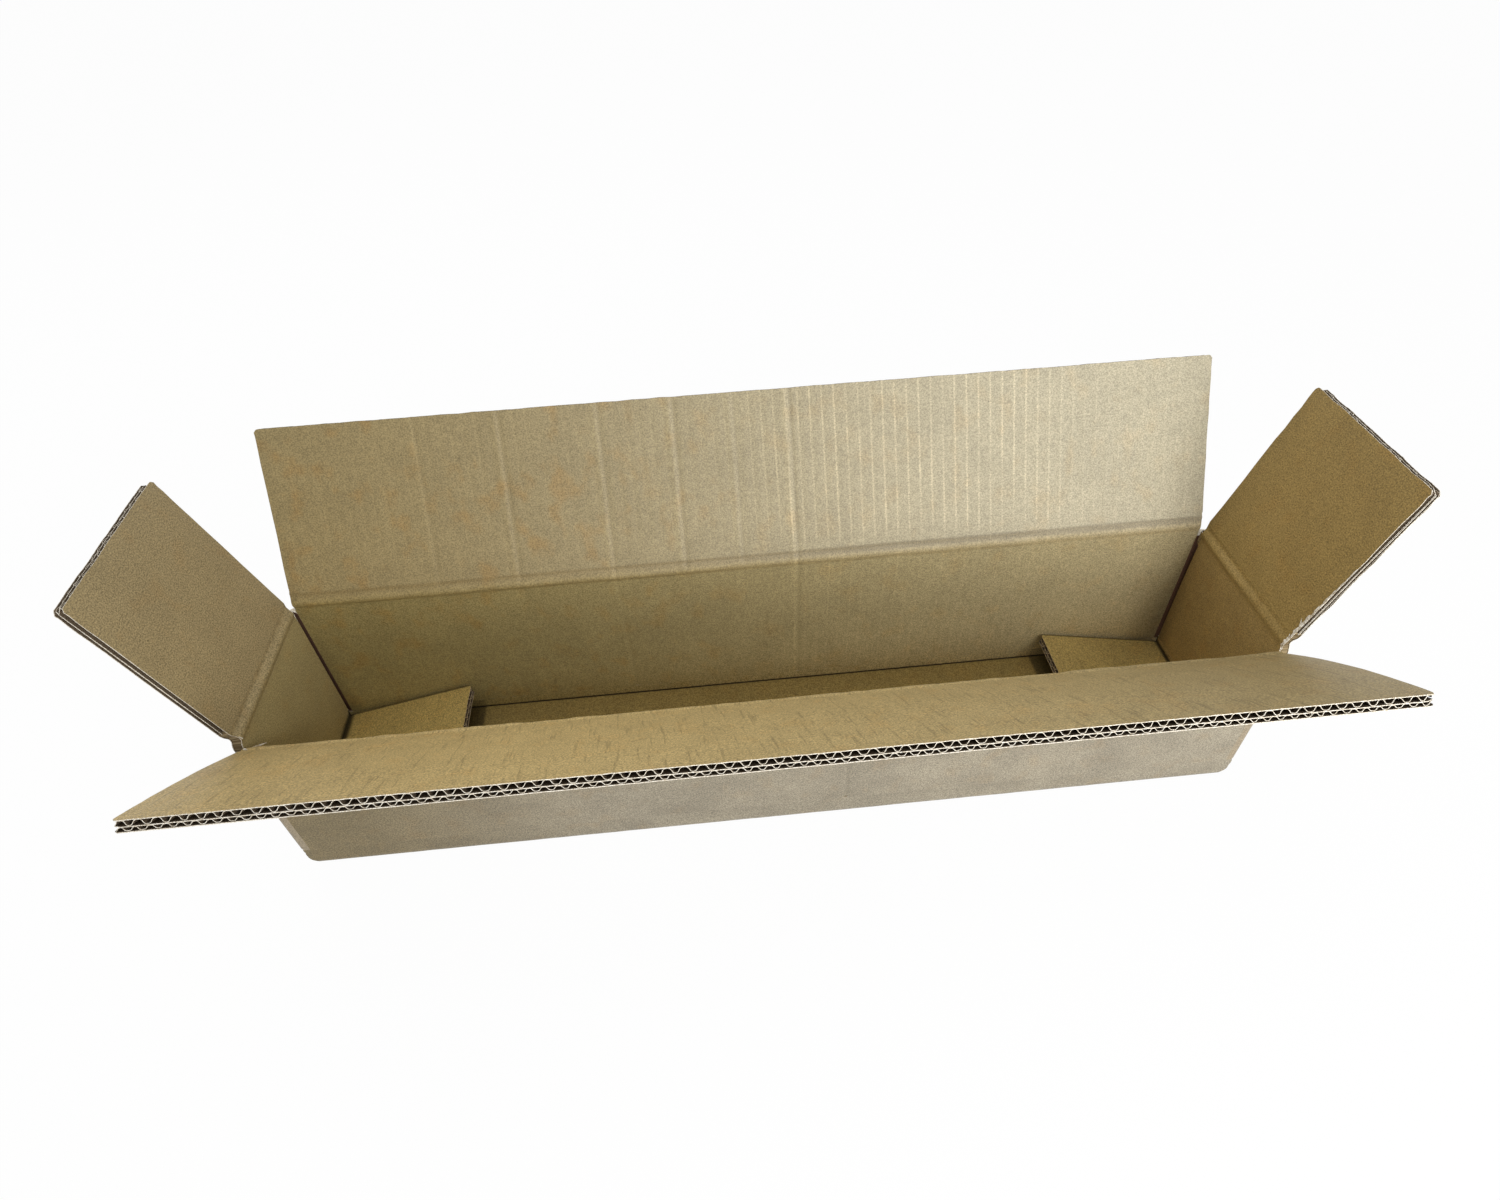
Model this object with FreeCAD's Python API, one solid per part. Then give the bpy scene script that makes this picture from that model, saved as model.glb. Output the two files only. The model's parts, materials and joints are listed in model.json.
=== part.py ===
"""Long full-overlap shipping box of double-wall corrugated board, standing open.

The box is one folded blank: four walls, a glued corner tab, two long bottom flaps that lie closed,
two short bottom flaps folded in on top of them, and four top flaps that stand open.
X runs along the box, +Y is the rear, +Z is up, and the origin is the middle of the outer bottom face.
"""

import FreeCAD, Part

import math
import os

V = FreeCAD.Vector

# ---- the box, in millimetres ----
INNER_LENGTH = 610.0    # between the end walls
INNER_WIDTH = 108.0     # between the long walls
INNER_DEPTH = 104.0     # bottom to the underside of the closed front flap
REAR_FLAP = 110.0       # crease to free edge
END_FLAP = 114.0        # crease to free edge

# ---- double-wall board: liner, B flute, liner, C flute, liner, from outside to inside ----
LINER = 0.4
B_FLUTE = 2.0           # height of the wavy sheet under the outer liner
B_PITCH = 6.4
C_FLUTE = 2.8           # height of the wavy sheet under the inner liner
C_PITCH = 7.8
MEDIUM = 0.35           # thickness of a wavy sheet
BOARD = 3 * LINER + B_FLUTE + C_FLUTE

# ---- creases, slots and the glued corner ----
CREASE_RADIUS = 1.5     # the crushed board rolls at this radius about its crease
FOLD_RADIUS = 5.0       # outside of the walls' own folds
INNER_FOLD_RADIUS = 0.8
BOTTOM_CREASE_DEPTH = 1.5   # short bottom flaps' crease, behind the inner face of the end wall
SLOT_END = 3.2          # a slot runs this far past the crease
TAB_WIDTH = 38.0
TAB_THICKNESS = 4.0     # the tab is crushed for gluing
TAB_END_GAP = 18.0      # from the tab's ends to the end wall's creases
TAB_TAPER = 10.0        # how much shorter the tab's free edge is at each end
RAW_EDGE_GAP = 2.5      # between the end wall's cut edge and the rear wall, at the glued corner

# ---- clearances ----
CREASE_GAP = 0.2        # between a rolled crease and its wall
LAYER_GAP = 0.2         # between flaps that lie on each other
SIDE_GAP = 1.5          # a top flap's side edge stands back from the inner corner
INNER_SIDE_GAP = 2.0    # the same for the short bottom flaps, which lie inside
TUCK_GAP = 0.5          # between the closed front flap's free edge and the rear wall
BOTTOM_REACH_GAP = 11.5     # between a closed long bottom flap's free edge and the opposite wall
EDGE_MARGIN = 1.2       # unbroken board at each side edge of a fluted edge

# ---- how the flaps stand and how far they go, in degrees ----
REAR_LEAN_ANGLE = 29.0        # outward from upright
FRONT_LEAN_ANGLE = 52.7
LEFT_LEAN_ANGLE = 18.0
RIGHT_LEAN_ANGLE = 17.3
LEFT_LIFT_ANGLE = 12.6        # short bottom flaps, up from lying flat
RIGHT_LIFT_ANGLE = 11.6
OPEN_LIMIT_ANGLE = 140.0      # outward from upright, all top flaps
LIFT_LIMIT_ANGLE = 65.0       # up from lying flat
STOP_MARGIN_ANGLE = 2.0       # left between flap and wall at those limits

# ---- derived places ----
AXIS_DEPTH = BOARD / 2                      # top creases turn in the middle of the board
FRONT_FLAP = INNER_WIDTH + AXIS_DEPTH - TUCK_GAP
BOTTOM_FLAP = INNER_WIDTH + AXIS_DEPTH - BOTTOM_REACH_GAP   # all four bottom flaps
FLOOR_Z = 2 * BOARD + LAYER_GAP             # top of the two long bottom flaps
STEP = BOARD + LAYER_GAP                    # each flap that closes over another is this much higher
FRONT_AXIS_Z = FLOOR_Z + INNER_DEPTH + AXIS_DEPTH
END_AXIS_Z = FRONT_AXIS_Z + STEP
REAR_AXIS_Z = END_AXIS_Z + STEP
BOTTOM_AXIS_Z = FLOOR_Z + LAYER_GAP + BOARD - BOTTOM_CREASE_DEPTH
HALF_L = INNER_LENGTH / 2
HALF_W = INNER_WIDTH / 2
LONG_PANEL = INNER_LENGTH - 2 * SIDE_GAP    # length of a long flap's crease
END_PANEL = INNER_WIDTH - 2 * SIDE_GAP      # length of a short flap's crease
OPEN_HALF = math.radians((180 - OPEN_LIMIT_ANGLE - STOP_MARGIN_ANGLE) / 2)
LIFT_HALF = math.radians((90 - LIFT_LIMIT_ANGLE - STOP_MARGIN_ANGLE) / 2)
OUTER_TAPER = (BOARD - AXIS_DEPTH) / math.tan(OPEN_HALF)
INNER_TAPER = AXIS_DEPTH + CREASE_GAP
BOTTOM_TAPER = BOTTOM_CREASE_DEPTH / math.tan(LIFT_HALF)
SEAT = CREASE_RADIUS + CREASE_GAP           # from a crease's axis to its wall
BOTTOM_PANEL = INNER_LENGTH + BOARD         # length of a long bottom flap's crease
BOTTOM_END_PANEL = INNER_WIDTH - 2 * INNER_SIDE_GAP     # length of a short bottom flap's crease
SLOT_TOP_Z = BOTTOM_AXIS_Z + SLOT_END       # where the bottom slots end


def polar(radius, angle):
    """(along, out) of a point at an angle from the panel's own direction, outward positive."""
    return (radius * math.cos(angle), radius * math.sin(angle))


def profile(points, arcs=()):
    """Closed wire through (y, z) points. arcs maps a segment's first point to the segment's middle."""
    arcs = dict(arcs)
    place = [V(0, y, z) for y, z in points]
    edges = []
    for i, start in enumerate(place):
        end = place[(i + 1) % len(place)]
        if i in arcs:
            y, z = arcs[i]
            edges.append(Part.Arc(start, V(0, y, z), end).toShape())
        else:
            edges.append(Part.makeLine(start, end))
    return Part.Wire(edges)


def along_x(wire, length):
    """Solid of a (y, z) profile, centred on X."""
    solid = Part.Face(wire).extrude(V(length, 0, 0))
    solid.translate(V(-length / 2, 0, 0))
    return solid


def plate(x0, x1, y0, y1, z0, z1):
    return Part.makeBox(x1 - x0, y1 - y0, z1 - z0, V(x0, y0, z0))


def round_off(radius):
    """How far the middle of a quarter circle stands from each of the two lines that it joins."""
    return radius * (1 - math.cos(math.pi / 4))


# ---- board section ----

def flute_cells(width, low, height, pitch):
    """Triangular voids of one fluted layer that starts at y = low, across a panel centred on X."""
    slope = math.atan(height / (pitch / 2))
    side = MEDIUM / 2 / math.sin(slope)
    tip = MEDIUM / 2 / math.cos(slope)
    usable = width - 2 * EDGE_MARGIN
    count = int(usable / pitch)
    start = -count * pitch / 2
    cells = []
    for i in range(count):
        x = start + i * pitch
        cells.append([(x + side, low), (x + pitch - side, low), (x + pitch / 2, low + height - tip)])
        if i < count - 1:
            x += pitch / 2
            top = low + height
            cells.append([(x + side, top), (x + pitch / 2, low + tip), (x + pitch - side, top)])
    return cells


def board_section(width, inner, z):
    """Face of the cut board across the flutes, with its inner side at y = inner."""
    outer = inner + BOARD
    corners = [(-width / 2, inner), (width / 2, inner), (width / 2, outer), (-width / 2, outer)]
    c_low = inner + LINER
    b_low = c_low + C_FLUTE + LINER
    cells = flute_cells(width, c_low, C_FLUTE, C_PITCH) + flute_cells(width, b_low, B_FLUTE, B_PITCH)
    wires = [Part.makePolygon([V(x, y, z) for x, y in ring + ring[:1]]) for ring in [corners] + cells]
    return Part.makeFace(wires, "Part::FaceMakerBullseye")


def fluted_panel(width, inner, start, end):
    """Panel standing on z = start, with its flutes open at z = end."""
    return board_section(width, inner, start).extrude(V(0, 0, end - start))


# ---- flaps, modelled upright with their crease on the X axis and the box's outside towards +Y ----

def top_flap(width, length):
    """Flap that rolls on its crease, mitred inside for closing and tapered outside for opening."""
    neck_out = polar(CREASE_RADIUS, OPEN_HALF)
    neck_in = polar(CREASE_RADIUS, -math.pi / 4)
    points = [
        (neck_out[1], neck_out[0]),
        (neck_in[1], neck_in[0]),
        (-AXIS_DEPTH, INNER_TAPER),
        (-AXIS_DEPTH, OUTER_TAPER),
        (BOARD - AXIS_DEPTH, OUTER_TAPER),
    ]
    root = along_x(profile(points, {0: (0, -CREASE_RADIUS)}), width)
    return root.fuse(fluted_panel(width, -AXIS_DEPTH, OUTER_TAPER, length))


def bottom_flap(width, length):
    """Short bottom flap, upright as if lifted against its wall, which lies towards +Y."""
    depth = BOTTOM_CREASE_DEPTH
    under = BOARD - depth
    neck = polar(CREASE_RADIUS, LIFT_HALF)
    round_end = math.asin(CREASE_RADIUS / under)
    points = [
        (-neck[1], neck[0]),
        (0, -CREASE_RADIUS),
        (under * math.cos(round_end), -CREASE_RADIUS),
        (under, 0),
        (under, BOTTOM_TAPER),
        (-depth, BOTTOM_TAPER),
    ]
    middle = polar(under, round_end / 2)
    roll = (-CREASE_RADIUS * math.sin(math.pi / 4), -CREASE_RADIUS * math.cos(math.pi / 4))
    root = along_x(profile(points, {0: roll, 2: (middle[0], -middle[1])}), width)
    return root.fuse(fluted_panel(width, -depth, BOTTOM_TAPER, length)).mirror(V(0, 0, 0), V(0, 1, 0))


def stand(flap, turn, lean, x, y, z):
    """Lean a flap outward, turn it to its wall and set its crease on the wall's axis."""
    flap.rotate(V(0, 0, 0), V(1, 0, 0), -lean)
    flap.rotate(V(0, 0, 0), V(0, 0, 1), turn)
    flap.translate(V(x, y, z))
    return flap


# ---- walls, as (y, z) profiles with the inside towards -Y ----

def crest(axis_z, y):
    """Top of a wall under its crease, from its inner face round to its outer face."""
    half_seat = SEAT * math.tan(OPEN_HALF)
    return [
        (y, axis_z - INNER_TAPER),
        (y + AXIS_DEPTH - CREASE_RADIUS, axis_z - SEAT),
        (y + AXIS_DEPTH + half_seat, axis_z - SEAT),
        (y + BOARD, axis_z - OUTER_TAPER),
    ]


def long_wall(axis_z, flap_z):
    """Long wall that folds under into its long bottom flap, whose lower face is at flap_z."""
    outer = HALF_W + BOARD
    free_y = HALF_W + AXIS_DEPTH - BOTTOM_FLAP
    top = flap_z + BOARD
    near = round_off(FOLD_RADIUS)
    inner_near = round_off(INNER_FOLD_RADIUS)
    points = crest(axis_z, HALF_W) + [
        (outer, flap_z + FOLD_RADIUS),
        (outer - FOLD_RADIUS, flap_z),
        (free_y, flap_z),
        (free_y, top),
        (HALF_W - INNER_FOLD_RADIUS, top),
        (HALF_W, top + INNER_FOLD_RADIUS),
    ]
    arcs = {4: (outer - near, flap_z + near), 8: (HALF_W - inner_near, top + inner_near)}
    wall = along_x(profile(points, arcs), BOTTOM_PANEL)
    ends = [
        plate(-BOTTOM_PANEL / 2, -LONG_PANEL / 2, HALF_W, outer, SLOT_TOP_Z, axis_z),
        plate(LONG_PANEL / 2, BOTTOM_PANEL / 2, HALF_W, outer, SLOT_TOP_Z, axis_z),
    ]
    return wall.cut(ends)


def end_wall(width):
    """Short wall between its two creases; its outer lip hides the short bottom flap's crease."""
    axis_y = HALF_L + BOTTOM_CREASE_DEPTH
    outer = HALF_L + BOARD
    foot = BOTTOM_AXIS_Z - (BOARD - BOTTOM_CREASE_DEPTH)
    lip = axis_y + SEAT
    neck = SEAT * math.tan(LIFT_HALF)
    round_foot = outer - lip
    near = round_off(round_foot)
    points = crest(END_AXIS_Z, HALF_L) + [
        (outer, foot + round_foot),
        (lip, foot),
        (lip, BOTTOM_AXIS_Z + SEAT),
        (axis_y - neck, BOTTOM_AXIS_Z + SEAT),
        (HALF_L, BOTTOM_AXIS_Z + BOTTOM_TAPER),
    ]
    return along_x(profile(points, {4: (outer - near, foot + near)}), width)


def folded_corner(top_z):
    """Vertical fold between a long and an end wall, at +X +Y."""
    x0, x1 = HALF_L - SIDE_GAP, HALF_L + BOARD
    y0, y1 = HALF_W - SIDE_GAP, HALF_W + BOARD
    corner = plate(x0, x1, y0, y1, SLOT_TOP_Z, top_z)
    hollow = plate(x0, HALF_L, y0, HALF_W, SLOT_TOP_Z, top_z)
    uprights = [edge for edge in corner.Edges if is_upright(edge, x1, y1)]
    corner = corner.makeFillet(FOLD_RADIUS, uprights).cut(hollow)
    creased = [edge for edge in corner.Edges if is_upright(edge, HALF_L, HALF_W)]
    return corner.makeFillet(INNER_FOLD_RADIUS, creased)


def is_upright(edge, x, y):
    return all(abs(v.X - x) < 1e-6 and abs(v.Y - y) < 1e-6 for v in edge.Vertexes)


def glued_corner():
    """Rear right corner: the rear wall folds round the end wall's cut edge and ends in the glued tab."""
    outer_x = HALF_L + BOARD + TAB_THICKNESS
    outer_y = HALF_W + BOARD
    x0 = HALF_L - SIDE_GAP
    top = END_AXIS_Z - SLOT_END
    tab_y = outer_y - TAB_WIDTH
    tab_low = BOTTOM_AXIS_Z + TAB_END_GAP
    tab_high = END_AXIS_Z - TAB_END_GAP
    turn = plate(x0, outer_x, HALF_W, outer_y, SLOT_TOP_Z, top)
    uprights = [edge for edge in turn.Edges if is_upright(edge, outer_x, outer_y)]
    turn = turn.makeFillet(FOLD_RADIUS, uprights)
    outline = [
        V(0, HALF_W, tab_high),
        V(0, tab_y, tab_high - TAB_TAPER),
        V(0, tab_y, tab_low + TAB_TAPER),
        V(0, HALF_W, tab_low),
    ]
    tab = Part.Face(Part.makePolygon(outline + outline[:1])).extrude(V(TAB_THICKNESS, 0, 0))
    tab.translate(V(HALF_L + BOARD, 0, 0))
    return [turn, tab]


def mirrored(shape, flip_x, flip_y):
    if flip_x:
        shape = shape.mirror(V(0, 0, 0), V(1, 0, 0))
    if flip_y:
        shape = shape.mirror(V(0, 0, 0), V(0, 1, 0))
    return shape


def box_body():
    """Walls, glued tab and the two closed long bottom flaps, one folded sheet."""
    rear = long_wall(REAR_AXIS_Z, BOARD + LAYER_GAP)
    front = long_wall(FRONT_AXIS_Z, 0).mirror(V(0, 0, 0), V(0, 1, 0))
    left = end_wall(END_PANEL)
    left.rotate(V(0, 0, 0), V(0, 0, 1), 90)
    right = end_wall(END_PANEL - RAW_EDGE_GAP + SIDE_GAP)
    right.translate(V((RAW_EDGE_GAP - SIDE_GAP) / 2, 0, 0))
    right.rotate(V(0, 0, 0), V(0, 0, 1), -90)
    corners = [
        mirrored(folded_corner(FRONT_AXIS_Z - SLOT_END), False, True),
        mirrored(folded_corner(FRONT_AXIS_Z - SLOT_END), True, True),
        mirrored(folded_corner(END_AXIS_Z - SLOT_END), True, False),
    ]
    body = rear.multiFuse([front, left, right] + corners + glued_corner())
    return body.removeSplitter()


def build():
    end_x = HALF_L + AXIS_DEPTH
    long_y = HALF_W + AXIS_DEPTH
    foot_x = HALF_L + BOTTOM_CREASE_DEPTH
    flat = -90
    rear = top_flap(LONG_PANEL, REAR_FLAP)
    front = top_flap(LONG_PANEL, FRONT_FLAP)
    left = top_flap(END_PANEL, END_FLAP)
    right = top_flap(END_PANEL, END_FLAP)
    left_foot = bottom_flap(BOTTOM_END_PANEL, BOTTOM_FLAP)
    right_foot = bottom_flap(BOTTOM_END_PANEL, BOTTOM_FLAP)
    return {
        "box_body": box_body(),
        "rear_flap": stand(rear, 0, REAR_LEAN_ANGLE, 0, long_y, REAR_AXIS_Z),
        "front_flap": stand(front, 180, FRONT_LEAN_ANGLE, 0, -long_y, FRONT_AXIS_Z),
        "left_end_flap": stand(left, 90, LEFT_LEAN_ANGLE, -end_x, 0, END_AXIS_Z),
        "right_end_flap": stand(right, -90, RIGHT_LEAN_ANGLE, end_x, 0, END_AXIS_Z),
        "left_bottom_flap": stand(left_foot, 90, flat + LEFT_LIFT_ANGLE, -foot_x, 0, BOTTOM_AXIS_Z),
        "right_bottom_flap": stand(right_foot, -90, flat + RIGHT_LIFT_ANGLE, foot_x, 0, BOTTOM_AXIS_Z),
    }


os.makedirs("parts", exist_ok=True)
for name, shape in build().items():
    shape.Solids[0].exportStep("parts/" + name + ".step")
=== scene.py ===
# Looks of a long shipping box of double-wall corrugated board, which stands open on a pale floor.
# Each panel of the box is built in sheet coordinates, in metres: u runs along its crease, v from the wall
# over the crease to the free edge, and w through the board towards the outside of the box.

import json
import math
from dataclasses import dataclass

import bpy
import numpy as np
from mathutils import Matrix, Vector


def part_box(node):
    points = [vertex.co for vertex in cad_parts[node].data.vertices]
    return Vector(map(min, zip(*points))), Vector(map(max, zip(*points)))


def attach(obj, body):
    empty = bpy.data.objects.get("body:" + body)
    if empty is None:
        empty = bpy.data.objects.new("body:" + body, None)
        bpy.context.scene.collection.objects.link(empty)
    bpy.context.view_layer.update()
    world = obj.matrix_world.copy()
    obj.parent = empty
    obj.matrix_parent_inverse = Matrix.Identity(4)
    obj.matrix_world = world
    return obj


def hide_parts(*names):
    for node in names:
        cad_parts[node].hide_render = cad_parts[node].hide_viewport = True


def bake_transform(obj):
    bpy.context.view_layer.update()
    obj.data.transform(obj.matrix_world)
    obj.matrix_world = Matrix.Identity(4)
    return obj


MM = 0.001

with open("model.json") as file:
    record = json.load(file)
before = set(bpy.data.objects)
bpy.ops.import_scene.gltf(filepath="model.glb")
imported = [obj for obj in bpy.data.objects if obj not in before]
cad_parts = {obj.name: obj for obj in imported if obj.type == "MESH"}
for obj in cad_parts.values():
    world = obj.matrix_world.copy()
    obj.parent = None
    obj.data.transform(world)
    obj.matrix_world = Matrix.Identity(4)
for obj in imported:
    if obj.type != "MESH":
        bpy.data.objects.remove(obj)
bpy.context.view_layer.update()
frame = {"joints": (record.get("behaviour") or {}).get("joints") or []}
JOINTS = {joint["name"]: joint for joint in frame["joints"]}

# ---- board, from the inside of the box to its outside ----
HALF = 3.0 * MM             # half of the board's thickness
LINER = 0.4 * MM
C_HEIGHT = 2.8 * MM
B_HEIGHT = 2.0 * MM
C_PITCH = 7.8 * MM
B_PITCH = 6.4 * MM
MEDIUM = 0.32 * MM          # thickness of a wavy sheet
WAVE_FLAT = 1.7             # how much its crests are pressed flat
MIDDLE = -HALF + LINER + C_HEIGHT       # inner side of the middle liner
PRESSED = 0.03 * MM         # height of the waves that show through a liner

# ---- creases and edges ----
OPEN_LIMIT = 140.0          # degrees outward from upright, where each top flap's range ends
LIFT_LIMIT = 65.0           # degrees up from flat, where each short bottom flap's range ends
BEND = 4.0 * MM             # a crease turns within this length each side of its axis
ZONE = 9.0 * MM             # crushed board each side of a crease
SLOT_END = 3.2 * MM         # the slot between two flaps runs this far past their creases
SIDE_GAP = 1.5 * MM         # between an end flap's side edge and the long wall
BOTTOM_DEPTH = 1.5 * MM     # short bottom flaps' axis, behind the inner face of the end wall
LAYER_GAP = 0.2 * MM        # between the short bottom flaps and the base under them
TAB = 4.0 * MM              # thickness of the glued tab
CUT_GAP = 2.5 * MM          # between the right end wall's cut edge and the rear wall
CUT_SLANT = 1.1 * MM        # how much wider that gap is at the top
CORNER_R = 5.0 * MM         # outside of a folded corner
NOTCH = 1.5 * MM            # the fold inside a corner opens this far along each wall
NOTCH_DEEP = 2.6 * MM

# ---- fineness of the meshes ----
FINE = 1.3 * MM             # step along a crease
BASE_FINE = 2.6 * MM        # the same under the box
CREASE_STEP = 0.75 * MM     # step across a crease
CURVE_STEPS = 65            # points that a crease's curve is worked out from
WAVE_POINTS = 14            # along one wave of a wavy sheet
SHARP = 40.0                # degrees between faces that meet in a sharp edge

HALF_W = JOINTS["rear_crease"]["pos_m"][1] - HALF
HALF_L = JOINTS["right_end_crease"]["pos_m"][0] - HALF
REAR_Z = JOINTS["rear_crease"]["pos_m"][2]
FRONT_Z = JOINTS["front_crease"]["pos_m"][2]
END_Z = JOINTS["right_end_crease"]["pos_m"][2]
FOOT_Z = JOINTS["right_bottom_crease"]["pos_m"][2]
SLOT_TOP = FOOT_Z + SLOT_END
LONG_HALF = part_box("rear_flap")[1][0]
END_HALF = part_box("right_end_flap")[1][1]
FOOT_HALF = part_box("right_bottom_flap")[1][1]
BASE_HALF = HALF_L + HALF


# ---- smooth random values ----

def wander(x, step, seed):
    """Smooth noise between -1 and 1 along x, with one random value every step."""
    table = np.random.RandomState(seed).uniform(-1, 1, 4096)
    place = np.asarray(x) / step
    low = np.floor(place).astype(int)
    part = place - low
    part = part * part * (3 - 2 * part)
    return table[low % 4096] * (1 - part) + table[(low + 1) % 4096] * part


def patches(x, y, step, seed):
    """Smooth noise between -1 and 1 over a plane, with one random value every step each way."""
    table = np.random.RandomState(seed).uniform(-1, 1, (256, 256))
    a, b = np.asarray(x) / step, np.asarray(y) / step
    i, j = np.floor(a).astype(int), np.floor(b).astype(int)
    p, q = a - i, b - j
    p, q = p * p * (3 - 2 * p), q * q * (3 - 2 * q)
    low = table[i % 256, j % 256] * (1 - p) + table[(i + 1) % 256, j % 256] * p
    high = table[i % 256, (j + 1) % 256] * (1 - p) + table[(i + 1) % 256, (j + 1) % 256] * p
    return low * (1 - q) + high * q


def smooth(x):
    """0 below 0, 1 above 1 and smooth between them."""
    x = np.clip(x, 0, 1)
    return x * x * (3 - 2 * x)


def hump(x, half):
    """1 at 0, falling smoothly to 0 at half each side."""
    return 0.5 + 0.5 * np.cos(np.pi * np.clip(np.asarray(x) / half, -1, 1))


def in_flap(v):
    """0 in the wall and 1 in the flap, with a smooth change at the crease."""
    return smooth((v + 2 * MM) / (4 * MM))


def uncrushed(v):
    """0 where a crease has crushed the board, and 1 a little way beside it."""
    return smooth((np.abs(v) - ZONE) / (6 * MM))


# ---- meshes ----

class Piece:
    """Gathers closed slabs into one mesh, with the sheet coordinates of each point."""

    def __init__(self, name):
        self.name = name
        self.points = []
        self.sheet = []
        self.faces = []
        self.looks = []
        self.count = 0

    def slab(self, front, back, sheet, looks):
        """front and back are grids of points, rows by columns. looks are their materials and the rim's."""
        rows, columns = front.shape[:2]
        size = rows * columns
        index = np.arange(size).reshape(rows, columns) + self.count
        a, b = index[:-1, :-1].ravel(), index[:-1, 1:].ravel()
        c, d = index[1:, 1:].ravel(), index[1:, :-1].ravel()
        ring = np.concatenate([index[0, :], index[1:, -1], index[-1, -2::-1], index[-2:0:-1, 0]])
        after = np.roll(ring, -1)
        faces = np.concatenate([
            np.stack([a, b, c, d], 1),
            np.stack([a, d, c, b], 1) + size,
            np.stack([ring, ring + size, after + size, after], 1),
        ])
        self.faces += faces.tolist()
        self.looks += [looks[0]] * len(a) + [looks[1]] * len(a) + [looks[2]] * len(ring)
        self.points += [front.reshape(-1, 3), back.reshape(-1, 3)]
        self.sheet += [sheet.reshape(-1, 3), sheet.reshape(-1, 3)]
        self.count += 2 * size

    def make(self, materials):
        mesh = bpy.data.meshes.new(self.name)
        mesh.from_pydata(np.concatenate(self.points).tolist(), [], self.faces)
        used = sorted(set(self.looks))
        for look in used:
            mesh.materials.append(materials[look])
        numbers = {look: i for i, look in enumerate(used)}
        mesh.polygons.foreach_set("material_index", [numbers[look] for look in self.looks])
        mesh.polygons.foreach_set("use_smooth", [True] * len(mesh.polygons))
        sheet = mesh.attributes.new("sheet", "FLOAT_VECTOR", "POINT")
        sheet.data.foreach_set("vector", np.concatenate(self.sheet).astype(np.float32).ravel())
        mesh.update()
        mesh.set_sharp_from_angle(angle=math.radians(SHARP))
        obj = bpy.data.objects.new(self.name, mesh)
        bpy.context.scene.collection.objects.link(obj)
        return obj


class Fold:
    """A panel that folds from a wall: where each of its sheet coordinates lies in the row frame."""

    def __init__(self, axis, wall, out, turn, offset=0.0, bend=BEND):
        self.wall, self.out = np.array(wall, float), np.array(out, float)
        self.along = np.cross(self.out, self.wall)
        self.turn = turn
        self.bend = bend
        normals = self.out + self.normal(turn)
        self.corner = np.array(axis, float) + offset * normals / (1 + self.out @ self.normal(turn))
        # A smooth curve, scaled so that it ends where a sharp fold would bring the flap.
        steps = np.linspace(-bend, bend, CURVE_STEPS)
        step = steps[1] - steps[0]
        angles = turn * smooth((steps + bend) / (2 * bend))
        middles = (angles[1:] + angles[:-1]) / 2
        shrink = 2 * bend * math.cos(turn / 2) / (np.cos(middles - turn / 2).sum() * step)
        moves = self.heading(middles) * step * shrink
        start = self.corner - bend * self.wall
        self.steps = steps
        self.curve = np.concatenate([[start], start + np.cumsum(moves, 0)])

    def heading(self, angle):
        """The way that v runs, once the panel has turned by the angle."""
        return np.cos(angle)[..., None] * self.wall + np.sin(angle)[..., None] * self.out

    def normal(self, angle):
        """The way that w runs, once the panel has turned by the angle."""
        angle = np.asarray(angle)
        return np.cos(angle)[..., None] * self.out - np.sin(angle)[..., None] * self.wall

    def place(self, u, v, w):
        """Points in the row frame."""
        u, v, w = np.broadcast_arrays(u, v, w)
        inside = np.clip(v, -self.bend, self.bend)
        angle = self.turn * smooth((inside + self.bend) / (2 * self.bend))
        centre = np.stack([np.interp(inside, self.steps, self.curve[:, k]) for k in range(3)], -1)
        centre = centre + np.minimum(v + self.bend, 0)[..., None] * self.wall
        centre = centre + np.maximum(v - self.bend, 0)[..., None] * self.heading(np.asarray(self.turn))
        return centre + w[..., None] * self.normal(angle) + u[..., None] * self.along

    def blend(self, obj, body_a, body_b):
        """Bakes the piece's placement into its mesh; body_a and body_b are not used."""
        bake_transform(obj)


# ---- materials ----

def linear(red, green, blue):
    """A colour given as 0 to 255 on screen."""
    values = [channel / 255 for channel in (red, green, blue)]
    return tuple(x / 12.92 if x <= 0.04045 else ((x + 0.055) / 1.055) ** 2.4 for x in values) + (1,)


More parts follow.
